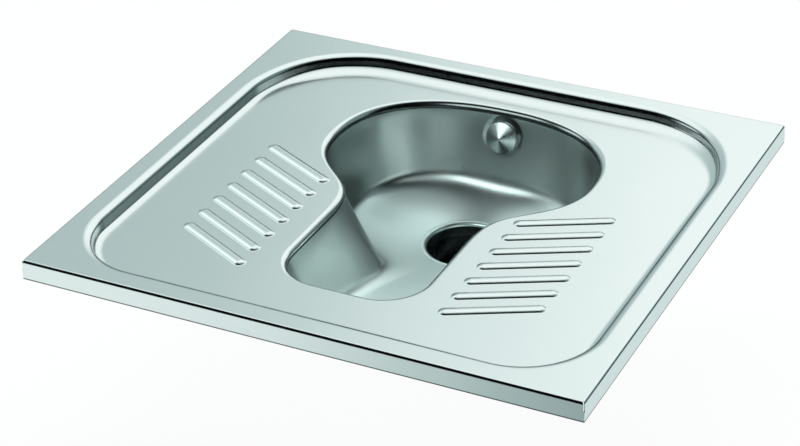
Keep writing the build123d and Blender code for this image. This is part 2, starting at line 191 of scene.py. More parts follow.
def offset_patch(patch, thickness):
    """The back of a sheet: the same faces moved inwards, facing the other way."""
    points, normals = patch
    return points - normals * thickness, -normals


def smooth(share):
    """A share that runs from 0 to 1 and is level at both ends."""
    share = np.clip(share, 0, 1)
    return share**2 * (3 - 2 * share)


def build_piece(name, patches, material, body):
    """One mesh from patches in millimetres. Its faces turn along their normals and are welded together."""
    points, normals, faces, start = [], [], [], 0
    for patch_points, patch_normals in patches:
        count, sides, _ = patch_points.shape
        first = patch_points[:, 2] - patch_points[:, 0]
        second = patch_points[:, 3 % sides] - patch_points[:, 1]
        turned = np.einsum("ij,ij->i", np.cross(first, second), patch_normals.sum(axis=1)) < 0
        patch_points = patch_points.copy()
        patch_normals = patch_normals.copy()
        patch_points[turned] = patch_points[turned][:, ::-1]
        patch_normals[turned] = patch_normals[turned][:, ::-1]
        points.append(patch_points.reshape(-1, 3))
        normals.append(patch_normals.reshape(-1, 3))
        faces.append(np.arange(start, start + count * sides).reshape(count, sides))
        start += count * sides
    points = np.concatenate(points)
    normals = np.concatenate(normals)
    places, index = np.unique(np.round(points, WELD_DECIMALS), axis=0, return_inverse=True)
    index = index.ravel()
    face_lists, corner_normals = [], []
    for block in faces:
        for corners in block:
            vertices = index[corners]
            keep = [k for k in range(len(corners)) if vertices[k] != vertices[k - 1]]
            if len(keep) > 2:
                face_lists.append([int(vertices[k]) for k in keep])
                corner_normals.extend(normals[corners[k]] for k in keep)
    mesh = bpy.data.meshes.new(name)
    mesh.from_pydata((places * MM).tolist(), [], face_lists)
    lengths = np.linalg.norm(corner_normals, axis=1, keepdims=True)
    mesh.polygons.foreach_set("use_smooth", [True] * len(mesh.polygons))
    mesh.normals_split_custom_set((np.array(corner_normals) / lengths).tolist())
    mesh.update()
    piece = bpy.data.objects.new(name, mesh)
    bpy.context.scene.collection.objects.link(piece)
    mesh.materials.append(material)
    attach(piece, body)
    return piece


def inside_loop(places, loop):
    """Which places lie inside a closed loop of points, in plan."""
    inside = np.zeros(len(places), bool)
    x, y = places[:, 0], places[:, 1]
    for (ax, ay), (bx, by) in zip(loop, np.roll(loop, -1, axis=0)):
        if ay == by:
            continue
        crosses = (ay > y) != (by > y)
        inside ^= crosses & (x < (bx - ax) * (y - ay) / (by - ay) + ax)
    return inside


def flat_patch(outline, holes, z):
    """A level face between an outline and its holes."""
    loops = [np.asarray(loop)[:, :2] for loop in (outline, *holes)]
    places = np.concatenate(loops)
    edges, start = [], 0
    for loop in loops:
        count = len(loop)
        edges.extend((start + k, start + (k + 1) % count) for k in range(count))
        start += count
    made = delaunay_2d_cdt([Vector(p) for p in places], edges, [], FILL_INSIDE, FILL_TOLERANCE)
    corners = np.array(made[0])
    triangles = np.array([face for face in made[2] if len(face) == 3])
    middle = corners[triangles].mean(axis=1)
    kept = inside_loop(middle, loops[0])
    for loop in loops[1:]:
        kept &= ~inside_loop(middle, loop)
    triangles = triangles[kept]
    points = np.concatenate([corners[triangles], np.full((*triangles.shape, 1), z)], axis=2)
    return points, np.broadcast_to(UP, points.shape).copy()


def closed_curve_normals(points):
    """Plan normals of a closed curve, to the right of its run."""
    along = np.roll(points, -1, axis=0) - np.roll(points, 1, axis=0)
    normals = np.stack([along[:, 1], -along[:, 0]], axis=1)
    return normals / np.linalg.norm(normals, axis=1, keepdims=True)


# ---------------------------------------------------------------- the bowl's shape


def ray_length(inside, angle):
    """Distance from the outlet's axis, along plan angles, to the edge of a region that surrounds it."""
    near = np.zeros_like(angle)
    far = np.full_like(angle, DECK_LENGTH)
    for _ in range(HALVINGS):
        middle = (near + far) / 2
        held = inside(np.abs(middle * np.cos(angle)), OUTLET_Y + middle * np.sin(angle))
        near = np.where(held, middle, near)
        far = np.where(held, far, middle)
    return near


def head_radius(angle, side_inset, rear_inset):
    """Plan radius of the broad head, a squared oval that is longer across than along."""

    def inside(x, y):
        rise = y - HEAD_CENTRE_Y
        rear_width, front_width = HEAD_REAR_HALF_WIDTH - rear_inset, HEAD_FRONT_HALF_WIDTH - side_inset
        half_width = np.where(rise > 0, rear_width, front_width)
        across = x / (HEAD_HALF_LENGTH - side_inset)
        along = np.abs(rise) / half_width
        return across**HEAD_SQUARENESS + along**HEAD_SQUARENESS < 1

    return ray_length(inside, angle)


def trough_radius(angle, inset):
    """Plan radius of the straight trough, with its rounded front corners."""
    corner = np.maximum(TROUGH_CORNER_RADIUS - inset, BOWL_BEND)

    def inside(x, y):
        past_side = x - (TROUGH_HALF_WIDTH - inset - corner)
        past_front = TROUGH_FRONT_Y + inset + corner - y
        distance = np.hypot(np.maximum(past_side, 0), np.maximum(past_front, 0))
        return distance + np.minimum(np.maximum(past_side, past_front), 0) < corner

    return ray_length(inside, angle)


def wall_radius(angle, z):
    """Plan radius of the bowl's wall at a level, as if the wall ran on below the floor."""
    drop = np.maximum(SEAM_Z - z, 0)
    eased = drop - DRAFT_EASE * (1 - np.exp(-drop / DRAFT_EASE))
    head = head_radius(angle, BOWL_BEND + HEAD_DRAFT * eased, BOWL_BEND + REAR_DRAFT * eased)
    trough = trough_radius(angle, BOWL_BEND + TROUGH_DRAFT * eased)
    overlap = np.maximum(WAIST_BLEND - np.abs(head - trough), 0) / WAIST_BLEND
    blended = np.maximum(head, trough) + overlap**2 * WAIST_BLEND / 4
    return np.where(np.sin(angle) >= 0, head, blended)


def bowl_radius(angle, z):
    """Plan radius of the bowl's inner face: its wall, blended into a floor that falls to the outlet."""
    to_rear = np.sin(angle)
    end_fall = np.where(to_rear > 0, FLOOR_FALL_REAR, FLOOR_FALL_FRONT)
    fall = FLOOR_FALL_SIDE + (end_fall - FLOOR_FALL_SIDE) * to_rear**2
    floor = LIP_RADIUS + LIP_LAND + (z - OUTLET_Z) / fall
    wall = wall_radius(angle, z)
    room = wall_radius(angle, np.full_like(z, OUTLET_Z)) - LIP_RADIUS - LIP_LAND
    blend = np.minimum(FLOOR_BLEND_SHARE * room, FLOOR_BLEND_LIMIT)
    overlap = np.maximum(blend - np.abs(wall - floor), 0) / blend
    return np.minimum(wall, floor) - overlap**3 * blend / 6


def around_outlet(angle, radius, z):
    """Points at plan angles and radii about the outlet's axis."""
    return np.stack([radius * np.cos(angle), OUTLET_Y + radius * np.sin(angle), z], axis=-1)


def bowl_angles():
    """Angles about the outlet, crowded along the trough, so that its long walls get enough points."""
    turn = np.linspace(0, 2 * math.pi, BOWL_STEPS, endpoint=False)
    return math.pi / 2 + turn + FRONT_CROWDING * np.sin(turn)


def surface_normals(points):
    """Normals of a smooth grid that closes on itself along its columns, facing up or into the bowl."""
    along = np.roll(points, -1, axis=1) - np.roll(points, 1, axis=1)
    down = np.gradient(points, axis=0)
    normals = np.cross(along, down)
    normals /= np.linalg.norm(normals, axis=2, keepdims=True)
    return normals


# The bowl's wall line at the seam, and its plan normals away from the opening
angles = bowl_angles()
seam_level = np.full_like(angles, SEAM_Z)
seam_line = around_outlet(angles, bowl_radius(angles, seam_level), seam_level)
seam_out = closed_curve_normals(seam_line[:, :2])
if (seam_out * (seam_line[:, :2] - [0, OUTLET_Y])).sum() < 0:
    seam_out = -seam_out

# The nozzle's seat: the middle of its face, and the way along its axis into the bowl, square to the back wall
seat_z = FLOOR_Z - NOZZLE_DEPTH
rear_angle = np.array([math.pi / 2])
rear_radius = [float(bowl_radius(rear_angle, np.array([seat_z + step]))[0]) for step in (-1, 0, 1)]
wall_lean = math.atan((rear_radius[2] - rear_radius[0]) / 2)
into_bowl = np.array([0, -math.cos(wall_lean), math.sin(wall_lean)])
seat_point = np.array([0, OUTLET_Y + rear_radius[1], seat_z]) - into_bowl * SEAT_SINK


def seated(points, level, radius):
    """Points near the nozzle's axis and within reach, drawn to a flat seat that stands square to it."""
    offset = points - seat_point
    height = offset @ into_bowl
    flat = offset - height[..., None] * into_bowl
    distance = np.linalg.norm(flat, axis=-1)
    share = np.where(np.abs(height) < SEAT_REACH, smooth((radius + SEAT_EASE - distance) / SEAT_EASE), 0)
    return points + ((level - height) * share)[..., None] * into_bowl


def bowl_patches():
    """The drawn shell with its flat nozzle seat, the outlet's lip and its collar, on both faces."""
    share = np.linspace(0, 1, BOWL_LEVELS)
    levels = SEAM_Z + (OUTLET_Z - SEAM_Z) * (1 - (1 - share) ** LEVEL_CROWDING)
    angle_grid, level_grid = np.meshgrid(angles, levels)
    inner = around_outlet(angle_grid, bowl_radius(angle_grid, level_grid), level_grid)
    shape_normals = surface_normals(inner)
    outer = inner - shape_normals * SHEET
    inner = seated(inner, 0, SEAT_RADIUS)
    outer = seated(outer, -SEAT_THICKNESS, SEAT_RADIUS + SEAT_MARGIN)
    inner_patch = grid_patch(inner, surface_normals(inner), wrap=True)
    outer_patch = grid_patch(outer, -surface_normals(outer), wrap=True)
    patches = [nozzle_hole(inner_patch), nozzle_hole(outer_patch)]
    turn = angles[None, :]
    bend = np.linspace(0, math.pi / 2, BEND_STEPS + 1)[:, None]
    for thickness, sign in ((0, 1), (SHEET, -1)):
        reach = LIP_BEND - thickness
        radius = LIP_RADIUS - reach * np.sin(bend) + 0 * turn
        z = OUTLET_Z - LIP_BEND + reach * np.cos(bend) + 0 * turn
        points = around_outlet(turn + 0 * bend, radius, z)
        inwards = [-np.sin(bend) * np.cos(turn), -np.sin(bend) * np.sin(turn)]
        normals = np.stack([*inwards, np.cos(bend) + 0 * turn], axis=-1)
        patches.append(grid_patch(points, sign * normals, wrap=True))
        land_start = inner[-1] if sign > 0 else outer[-1]
        land_normals = np.broadcast_to(sign * UP, points[:2].shape)
        patches.append(grid_patch(np.stack([land_start, points[0]]), land_normals, wrap=True))
        end = points[-1].copy()
        end[:, 2] = OUTLET_Z - COLLAR_LENGTH
        collar_normals = sign * np.stack([normals[-1], normals[-1]])
        patches.append(grid_patch(np.stack([points[-1], end]), collar_normals, wrap=True))
    end_level = np.full_like(angles, OUTLET_Z - COLLAR_LENGTH)
    ends = [around_outlet(angles, radius, end_level) for radius in (THROAT_RADIUS, OUTLET_RADIUS)]
    patches.append(grid_patch(np.stack(ends), np.broadcast_to(-UP, (2, len(angles), 3)), wrap=True))
    return patches


def nozzle_hole(patch):
    """Leaves out the faces inside the nozzle's hole. The flange and its gasket cover the hole's edge."""
    points, normals = patch
    offset = points.mean(axis=1) - seat_point
    height = offset @ into_bowl
    distance = np.linalg.norm(offset - height[:, None] * into_bowl, axis=1)
    open_there = (distance < NOZZLE_HOLE_RADIUS) & (np.abs(height) < SEAT_REACH)
    return points[~open_there], normals[~open_there]


# ---------------------------------------------------------------- the deck's shape


def rounded_rectangle(inset):
    """Points and outward normals around the recess, at a distance inside the deck's edge."""
    points, normals = [], []
    for number, (x_side, y_side) in enumerate(((1, 1), (-1, 1), (-1, -1), (1, -1))):
        full = REAR_CORNER_RADIUS if y_side > 0 else FRONT_CORNER_RADIUS
        radius = full + RIM_WIDTH - inset
        centre_x = x_side * (DECK_LENGTH / 2 - RIM_WIDTH - full)
        centre_y = y_side * (DECK_WIDTH / 2 - RIM_WIDTH - full)
        for step in range(CORNER_STEPS + 1):
            angle = (number + step / CORNER_STEPS) * math.pi / 2
            normal = (math.cos(angle), math.sin(angle))
            points.append((centre_x + radius * normal[0], centre_y + radius * normal[1]))
            normals.append(normal)
    return np.array(points), np.array(normals)


def recess_profile(wall_tilt, soft_top, tight_top, tight_foot, soft_foot):
    """Distance in, level and tilt, from the recess's edge down its wall and out over its foot."""
    soft, wall = math.radians(RECESS_SOFT_TILT), math.radians(wall_tilt)
    # Radius, tilt before and after, and the number of steps
    bends = (
        (soft_top, 0, soft, 12),
        (tight_top, soft, wall, 14),
        (0, wall, wall, 1),
        (tight_foot, wall, soft, 14),
        (soft_foot, soft, 0, 16),
    )
    bent = sum(bend * abs(math.cos(start) - math.cos(end)) for bend, start, end, _ in bends)
    straight = RECESS_DEPTH - bent
    rows = [(0.0, 0.0, 0.0)]
    for bend, start, end, steps in bends:
        first, level, _ = rows[-1]
        if bend == 0:
            rows.append((first + straight / math.tan(wall), level - straight, wall))
            continue
        for step in range(1, steps + 1):
            tilt = start + (end - start) * step / steps
            inwards = first + bend * abs(math.sin(tilt) - math.sin(start))
            rows.append((inwards, level - bend * abs(math.cos(tilt) - math.cos(start)), tilt))
    return np.array(rows)


def recess_ring():
    """The recess's wall all round. It stands a little further in at the sides and front than at the rear."""
    sides, rear = recess_profile(*RECESS_SIDES), recess_profile(*RECESS_REAR)
    plan, out = rounded_rectangle(RECESS_START)
    share = smooth((out[:, 1] - RECESS_TURN_START) / RECESS_TURN_RANGE)
    rows = sides[:, None] + (rear - sides)[:, None] * share[:, None]
    inwards = rows[..., 0, None] + RECESS_SIDE_SHIFT * (1 - share[:, None])
    level, tilt = rows[..., 1, None], rows[..., 2, None]
    points = np.concatenate([plan - out * inwards, level], axis=2)
    normals = np.concatenate([-out * np.sin(tilt), np.cos(tilt)], axis=2)
    return points, normals


def edge_profile(inner):
    """Distance out from the deck's edge, level and tilt, down the rim bend and the skirt, on either face."""
    depth = SHEET if inner else 0
    reach = RIM_BEND - depth
    rows = []
    for step in range(BEND_STEPS + 1):
        tilt = math.pi / 2 * step / BEND_STEPS
        rows.append((reach * math.sin(tilt) - RIM_BEND, reach * math.cos(tilt) - RIM_BEND, tilt))
    for z in (-SLIT_DEPTH + SLIT_WIDTH, -SLIT_DEPTH + SLIT_WIDTH / 3, -SLIT_DEPTH, -SKIRT_DEPTH):
        rows.append((-depth, z, math.pi / 2))
    return rows


def slit_gap(out, z):
    """How far the slit at each corner holds the two skirts apart, measured along a skirt."""
    half = SLIT_WIDTH / 2 * math.sqrt(2)
    start = -SLIT_REACH / math.sqrt(2)
    opened = min(max((out - start) / SLIT_EASE, 0), 1)
    closed = min(max((z + SLIT_DEPTH) / (SLIT_WIDTH / 3), 0), 1)
    return half * math.sqrt(opened) * math.sqrt(closed)


def edge_strips():
    """The rim bend and skirt on the deck's four sides, mitred at the corners and slit at the top."""
    patches = []
    # Half a side's length, its distance from the middle, the way along it and the way out
    sides = (
        (DECK_LENGTH / 2, DECK_WIDTH / 2, (1, 0), (0, -1)),
        (DECK_LENGTH / 2, DECK_WIDTH / 2, (-1, 0), (0, 1)),
        (DECK_WIDTH / 2, DECK_LENGTH / 2, (0, 1), (1, 0)),
        (DECK_WIDTH / 2, DECK_LENGTH / 2, (0, -1), (-1, 0)),
    )
    for half_run, half_reach, along, outward in sides:
        faces = []
        for inner in (False, True):
            points, normals = [], []
            for out, z, tilt in edge_profile(inner):
                end = half_run + out - slit_gap(max(out, -SHEET) if inner else out, z)
                row, row_normals = [], []
                for share in EDGE_SHARES:
                    place = np.array(along) * end * share + np.array(outward) * (half_reach + out)
                    row.append((*place, z))
                    row_normals.append((*(np.array(outward) * math.sin(tilt)), math.cos(tilt)))
                points.append(row)
                normals.append(row_normals)
            points, normals = np.array(points, float), np.array(normals, float)
            patches.append(grid_patch(points, -normals if inner else normals))
            faces.append(points)
        lower = np.stack([faces[0][-1], faces[1][-1]])
        patches.append(grid_patch(lower, np.broadcast_to(-UP, lower.shape)))
        for end_index, sign in ((0, -1), (-1, 1)):
            wall = np.stack([faces[0][:-1, end_index], faces[1][:-1, end_index]])
            facing = sign * np.array([*along, 0.0])
            patches.append(grid_patch(wall, np.broadcast_to(facing, wall.shape)))
    return patches


def rib_profile():
    """Distance in from a rib's outline, height and tilt, over its hollow base and its round back."""
    flank = math.radians(RIB_FLANK_ANGLE)
    back_bend = RIB_WIDTH / 2 / math.sin(flank) - RIB_BASE_BEND
    height = (RIB_BASE_BEND + back_bend) * (1 - math.cos(flank))
    rows = []
    for step in range(RIB_BASE_STEPS + 1):
        tilt = flank * step / RIB_BASE_STEPS
        rows.append((RIB_BASE_BEND * math.sin(tilt), RIB_BASE_BEND * (1 - math.cos(tilt)), tilt))
    for step in range(1, RIB_BACK_STEPS + 1):
        tilt = flank * (1 - step / RIB_BACK_STEPS)
        fall = back_bend * (1 - math.cos(tilt))
        rows.append((RIB_WIDTH / 2 - back_bend * math.sin(tilt), height - fall, tilt))
    return rows


def rib_grid(x, y, angle):
    """Rows of points over one rib, from its outline to its middle line, with their normals."""
    length = (RIB_OUTER_X - RIB_INNER_X) / math.cos(math.radians(RIB_ANGLE))
    run = np.array([math.cos(math.radians(angle)), math.sin(math.radians(angle))])
    across = np.array([-run[1], run[0]])
    points, normals = [], []
    for inwards, rise, tilt in rib_profile():
        radius = RIB_WIDTH / 2 - inwards
        row, row_normals = [], []
        for end in (1, -1):
            for step in range(RIB_END_STEPS + 1):
                turn = -math.pi / 2 + math.pi * step / RIB_END_STEPS
                out = end * (run * math.cos(turn) + across * math.sin(turn))
                place = np.array([x, y]) + run * end * length / 2 + out * radius
                row.append((*place, FLOOR_Z + rise))
                row_normals.append((*(out * math.sin(tilt)), math.cos(tilt)))
        points.append(row)
        normals.append(row_normals)
    return np.array(points), np.array(normals)


def rib_places():
    """The middle of each rib, and its turn in degrees. The two sides mirror each other."""
    half_fall = (RIB_OUTER_X - RIB_INNER_X) / 2 * math.tan(math.radians(RIB_ANGLE))
    middle_x = (RIB_OUTER_X + RIB_INNER_X) / 2
    for side in (-1, 1):
        for row in range(RIB_COUNT):
            yield side * middle_x, TREAD_REAR_Y - half_fall - RIB_PITCH * row, side * RIB_ANGLE


def bowl_rim_grid():
    """The bend from the deck's floor down into the bowl, and the short collar below it."""
    points, normals = [], []
    steps = 2 * BEND_STEPS
    for step in range(steps + 1):
        tilt = math.pi / 2 * step / steps
        out = BOWL_BEND * (1 - math.sin(tilt))
        plan = seam_line[:, :2] + seam_out * out
        z = np.full(len(plan), FLOOR_Z - BOWL_BEND * (1 - math.cos(tilt)))
        upward = np.full(len(plan), math.cos(tilt))
        points.append(np.column_stack([plan, z]))
        normals.append(np.column_stack([-seam_out * math.sin(tilt), upward]))
    points.append(seam_line)
    normals.append(normals[-1])
    return np.array(points), np.array(normals)


def deck_patches():
    """The pressed sheet on both faces, in three parts: flats and ribs, recess wall and skirt, bowl rim."""
    ring_points, ring_normals = recess_ring()
    rim_points, rim_normals = bowl_rim_grid()
    ribs = [rib_grid(*place) for place in rib_places()]
    half_x, half_y = DECK_LENGTH / 2 - RIM_BEND, DECK_WIDTH / 2 - RIM_BEND
    shares = EDGE_SHARES[:-1]
    square = [(half_x * s, -half_y) for s in shares] + [(half_x, half_y * s) for s in shares]
    square += [(-half_x * s, half_y) for s in shares] + [(-half_x, -half_y * s) for s in shares]
    openings = [rim_points[0]] + [points[0] for points, _ in ribs]
    flats = [flat_patch(ring_points[-1], openings, FLOOR_Z), flat_patch(square, [ring_points[0]], 0.0)]
    flats += [grid_patch(points, normals, wrap=True) for points, normals in ribs]
    pressed = [grid_patch(ring_points, ring_normals, wrap=True)]
    rim = [grid_patch(rim_points, rim_normals, wrap=True)]
    for patches in (flats, pressed, rim):
        patches += [offset_patch(patch, SHEET) for patch in patches]
    return flats, pressed + edge_strips(), rim


# ---------------------------------------------------------------- the spray head


def lathe_patch(profile, tilts):
    """A profile of distance from the nozzle's axis and place along it, turned about the axis."""
    side = np.array([1.0, 0.0, 0.0])
    other = np.cross(into_bowl, side)
    turn = np.linspace(0, 2 * math.pi, LATHE_STEPS, endpoint=False)
    around = np.cos(turn)[:, None] * side + np.sin(turn)[:, None] * other
    points, normals = [], []
    for (radius, place), tilt in zip(profile, tilts):
        points.append(seat_point + into_bowl * place + around * radius)
        normals.append(around * math.sin(tilt) + into_bowl * math.cos(tilt))
    return grid_patch(np.array(points), np.array(normals), wrap=True)


def spray_head_patches():
    """A turned cap with a shallow cone and a sharp shoulder, on its stem."""
    limit = math.radians(CAP_CONE_ANGLE)
    edge_top = CAP_BACK + CAP_EDGE_HEIGHT
    edge_radius = CAP_RADIUS - CAP_EDGE_BEND
    tip_place = edge_top + (edge_radius - CAP_TIP_BEND * math.sin(limit)) * math.tan(limit)
    cone, cone_tilts = [], []
    for step in range(CAP_TIP_STEPS + 1):
        tilt = limit * step / CAP_TIP_STEPS
        place = tip_place + CAP_TIP_BEND * (math.cos(tilt) - math.cos(limit))
        cone.append((CAP_TIP_BEND * math.sin(tilt), place))
        cone_tilts.append(tilt)
    cone.append((edge_radius, edge_top))
    cone_tilts.append(limit)
    shoulder, shoulder_tilts = [], []
    for step in range(CAP_SHOULDER_STEPS + 1):
        tilt = limit + (math.pi / 2 - limit) * step / CAP_SHOULDER_STEPS
        share = (math.sin(tilt) - math.sin(limit)) / (1 - math.sin(limit))
        place = edge_top - CAP_EDGE_BEND * (math.cos(limit) - math.cos(tilt))
        shoulder.append((edge_radius + CAP_EDGE_BEND * share, place))
        shoulder_tilts.append(tilt)
    patches = [lathe_patch(cone, cone_tilts), lathe_patch(shoulder, shoulder_tilts)]
    outline = (
        (CAP_RADIUS, shoulder[-1][1]),
        (CAP_RADIUS, CAP_BACK + CAP_CHAMFER),
        (CAP_RADIUS - CAP_CHAMFER, CAP_BACK),
        (STEM_RADIUS, CAP_BACK),
        (STEM_RADIUS, STEM_END),
        (0.0, STEM_END),
    )
    # Each stretch of the outline faces away from the cap's front by these degrees
    for start, end, tilt in zip(outline, outline[1:], (90, 135, 180, 90, 180)):
        patches.append(lathe_patch([start, end], [math.radians(tilt)] * 2))
    return patches


# ---------------------------------------------------------------- materials


STEEL_COLOR = (0.70, 0.735, 0.728)
DRAWN_COLOR = (0.63, 0.73, 0.715)
# The bowl's walls are painted a darker colour than its floor, as shade
SHADED_WALL_COLOR = (0.565, 0.61, 0.60)
TURNED_COLOR = (0.47, 0.515, 0.51)
DECK_ROUGHNESS = 0.19
BOWL_ROUGHNESS = 0.30
BOWL_ROUGHNESS_SPREAD = 0.05
FLOOR_ROUGHNESS = 0.44
# Most of a noise lies in this part of its range
NOISE_RANGE = (0.3, 0.7)
# The skirt's foot, by the sheet's cut edge, is painted dark as shade below the first height above the
# foot, and fades out at the second
FOOT_SHADE_COLOR = (0.10, 0.11, 0.11)
FOOT_SHADE_HEIGHTS = (1.2, 1.9)
# The bowl is floor where its surface faces up more than the first value, and wall where it does so less by
# the second. Its walls have this many streaks to a radian, each about this long.
FLOOR_FACING = 0.975
WALL_EASE = 0.2
STREAKS = 5.0
STREAK_LENGTH = 60.0


def new_material(name, metallic, color, roughness):
    material = bpy.data.materials.new(name)
    material.use_nodes = True
    shader = material.node_tree.nodes["Principled BSDF"]
    shader.inputs["Metallic"].default_value = metallic
    shader.inputs["Base Color"].default_value = (*color, 1)
    shader.inputs["Roughness"].default_value = roughness
    return material, shader


def add_node(material, kind, **settings):
    node = material.node_tree.nodes.new(kind)
    for name, value in settings.items():
        if name in node.inputs:
            node.inputs[name].default_value = value
        else:
            setattr(node, name, value)
    return node


def link(material, source, output, target, socket):
    material.node_tree.links.new(source.outputs[output], target.inputs[socket])


def grain(material, stretch, scale, detail=3.0):
    """Noise drawn out along one axis, in the object's own metres."""
    coordinates = add_node(material, "ShaderNodeTexCoord")
    mapping = add_node(material, "ShaderNodeMapping")
    mapping.inputs["Scale"].default_value = stretch
    noise = add_node(material, "ShaderNodeTexNoise", Scale=scale, Detail=detail)
    link(material, coordinates, "Object", mapping, "Vector")
    link(material, mapping, "Vector", noise, "Vector")
    return noise


def map_range(material, source, output, start, end, low=0.0, high=1.0):
    """A value that goes from low to high while another one goes from start to end."""
    ramp = add_node(material, "ShaderNodeMapRange")
    for name, value in (("From Min", start), ("From Max", end), ("To Min", low), ("To Max", high)):
        ramp.inputs[name].default_value = value
    link(material, source, output, ramp, "Value")
    return ramp


def drive_roughness(material, shader, noise, low, high):
    """A roughness that a noise varies between two values."""
    ramp = map_range(material, noise, "Fac", *NOISE_RANGE, low, high)
    link(material, ramp, "Result", shader, "Roughness")


def add_bump(material, noise, strength, distance, before=None):
    """A bump from a noise, with its height in metres, on top of another one if there is one."""
    bump = add_node(material, "ShaderNodeBump", Strength=strength, Distance=distance)
    link(material, noise, "Fac", bump, "Height")
    if before:
        link(material, before, "Normal", bump, "Normal")
    return bump


def satin_steel():
    """Brushed sheet: fine grain along the deck, and the slow waviness of a pressed plate."""
    material, shader = new_material("satin_steel", 1.0, STEEL_COLOR, 0.2)
    fine = grain(material, (1.0, 22.0, 22.0), 70.0)
    drive_roughness(material, shader, fine, DECK_ROUGHNESS - 0.02, DECK_ROUGHNESS + 0.03)
    slow = grain(material, (1.0, 1.0, 1.0), 5.0, 1.0)
    first = add_bump(material, fine, 0.10, 0.0001)
    second = add_bump(material, slow, 0.35, 0.002, first)
    link(material, second, "Normal", shader, "Normal")
    # Painted shade: a dark band along the skirt's foot
    place = add_node(material, "ShaderNodeTexCoord")
    split = add_node(material, "ShaderNodeSeparateXYZ")
    link(material, place, "Object", split, "Vector")
    full, gone = ((height - SKIRT_DEPTH) * MM for height in FOOT_SHADE_HEIGHTS)
    edge = map_range(material, split, "Z", gone, full)
    foot_shade = add_node(material, "ShaderNodeMix", data_type="RGBA")
    foot_shade.inputs["A"].default_value = (*STEEL_COLOR, 1)
    foot_shade.inputs["B"].default_value = (*FOOT_SHADE_COLOR, 1)
    link(material, edge, "Result", foot_shade, "Factor")
    link(material, foot_shade, "Result", shader, "Base Color")
    return material


def drawn_steel():
    """The bowl's duller finish, with streaks and painted shade down its walls, which becomes the deck's at
    the outlet's lip.
    """
    material, shader = new_material("drawn_steel", 1.0, DRAWN_COLOR, BOWL_ROUGHNESS)
    run = add_node(material, "ShaderNodeAttribute", attribute_name="run")
    dull = add_node(material, "ShaderNodeAttribute", attribute_name="dull")
    wall = add_node(material, "ShaderNodeAttribute", attribute_name="wall")
    streaks = add_node(material, "ShaderNodeTexNoise", Scale=1.0, Detail=0.0)
    link(material, run, "Vector", streaks, "Vector")
    fine = grain(material, (1.0, 1.0, 1.0), 420.0)
    low, high = BOWL_ROUGHNESS - BOWL_ROUGHNESS_SPREAD, BOWL_ROUGHNESS + BOWL_ROUGHNESS_SPREAD
    spread = map_range(material, streaks, "Fac", 0.0, 1.0, low, high)
    finish = add_node(material, "ShaderNodeMix")
    finish.inputs["A"].default_value = FLOOR_ROUGHNESS
    link(material, wall, "Fac", finish, "Factor")
    link(material, spread, "Result", finish, "B")
    mix = add_node(material, "ShaderNodeMix")
    mix.inputs["A"].default_value = DECK_ROUGHNESS
    link(material, dull, "Fac", mix, "Factor")
    link(material, finish, "Result", mix, "B")
    link(material, mix, "Result", shader, "Roughness")
    # The streaks' bump is full on the walls and fades out towards the floor
    first = add_bump(material, streaks, 1.0, 0.00015)
    link(material, wall, "Fac", first, "Strength")
    # Painted shade: the walls take a darker colour than the floor
    tone = add_node(material, "ShaderNodeMix", data_type="RGBA")
    tone.inputs["A"].default_value = (*DRAWN_COLOR, 1)
    tone.inputs["B"].default_value = (*SHADED_WALL_COLOR, 1)
    link(material, wall, "Fac", tone, "Factor")
    link(material, tone, "Result", shader, "Base Color")
    second = add_bump(material, fine, 0.10, 0.0001, first)
    link(material, second, "Normal", shader, "Normal")
    return material


def turned_steel():
    """Turned finish: grooves round the nozzle's axis draw the highlights out from its middle."""
    material, shader = new_material("turned_steel", 1.0, TURNED_COLOR, 0.24)
    fine = grain(material, (1.0, 1.0, 1.0), 900.0)
    drive_roughness(material, shader, fine, 0.2, 0.28)
    shader.inputs["Anisotropic"].default_value = 0.85
    place = add_node(material, "ShaderNodeNewGeometry")
    offset = add_node(material, "ShaderNodeVectorMath", operation="SUBTRACT")
    offset.inputs[1].default_value = tuple(seat_point * MM)
    link(material, place, "Position", offset, 0)
    around = add_node(material, "ShaderNodeVectorMath", operation="CROSS_PRODUCT")
    around.inputs[0].default_value = tuple(into_bowl)
    link(material, offset, "Vector", around, 1)
    tangent = add_node(material, "ShaderNodeVectorMath", operation="NORMALIZE")
    link(material, around, "Vector", tangent, 0)
    link(material, tangent, "Vector", shader, "Tangent")
    return material


def simple_metal(name, color, roughness, scale):
    """A plain metal with fine spots in its gloss."""
    material, shader = new_material(name, 1.0, color, roughness)
    spots = grain(material, (1.0, 1.0, 1.0), scale)
    drive_roughness(material, shader, spots, roughness - 0.06, roughness + 0.08)
    link(material, add_bump(material, spots, 0.08, 0.0002), "Normal", shader, "Normal")
    return material


def simple_soft(name, color, roughness, scale, bump):
    """Rubber or felt with a fine bump."""
    material, shader = new_material(name, 0.0, color, roughness)
    spots = grain(material, (1.0, 1.0, 1.0), scale)
    drive_roughness(material, shader, spots, roughness - 0.08, roughness + 0.08)
    link(material, add_bump(material, spots, bump, 0.0005), "Normal", shader, "Normal")
    return material


materials = {
    "satin_steel": satin_steel(),
    "drawn_steel": drawn_steel(),
    "turned_steel": turned_steel(),
    # The spigot's steel is painted dark, as the shade inside a drain
    "spigot_shade_steel": simple_metal("spigot_shade_steel", (0.22, 0.25, 0.25), 0.22, 300.0),
    "plain_steel": simple_metal("plain_steel", (0.55, 0.57, 0.57), 0.38, 400.0),
    "brass": simple_metal("brass", (0.78, 0.60, 0.30), 0.28, 300.0),
    "zinc_steel": simple_metal("zinc_steel", (0.62, 0.64, 0.66), 0.42, 220.0),
    "black_rubber": simple_soft("black_rubber", (0.02, 0.02, 0.021), 0.65, 500.0, 0.3),
    "damping": simple_soft("damping", (0.035, 0.035, 0.04), 0.8, 260.0, 0.6),
}


# ---------------------------------------------------------------- pieces


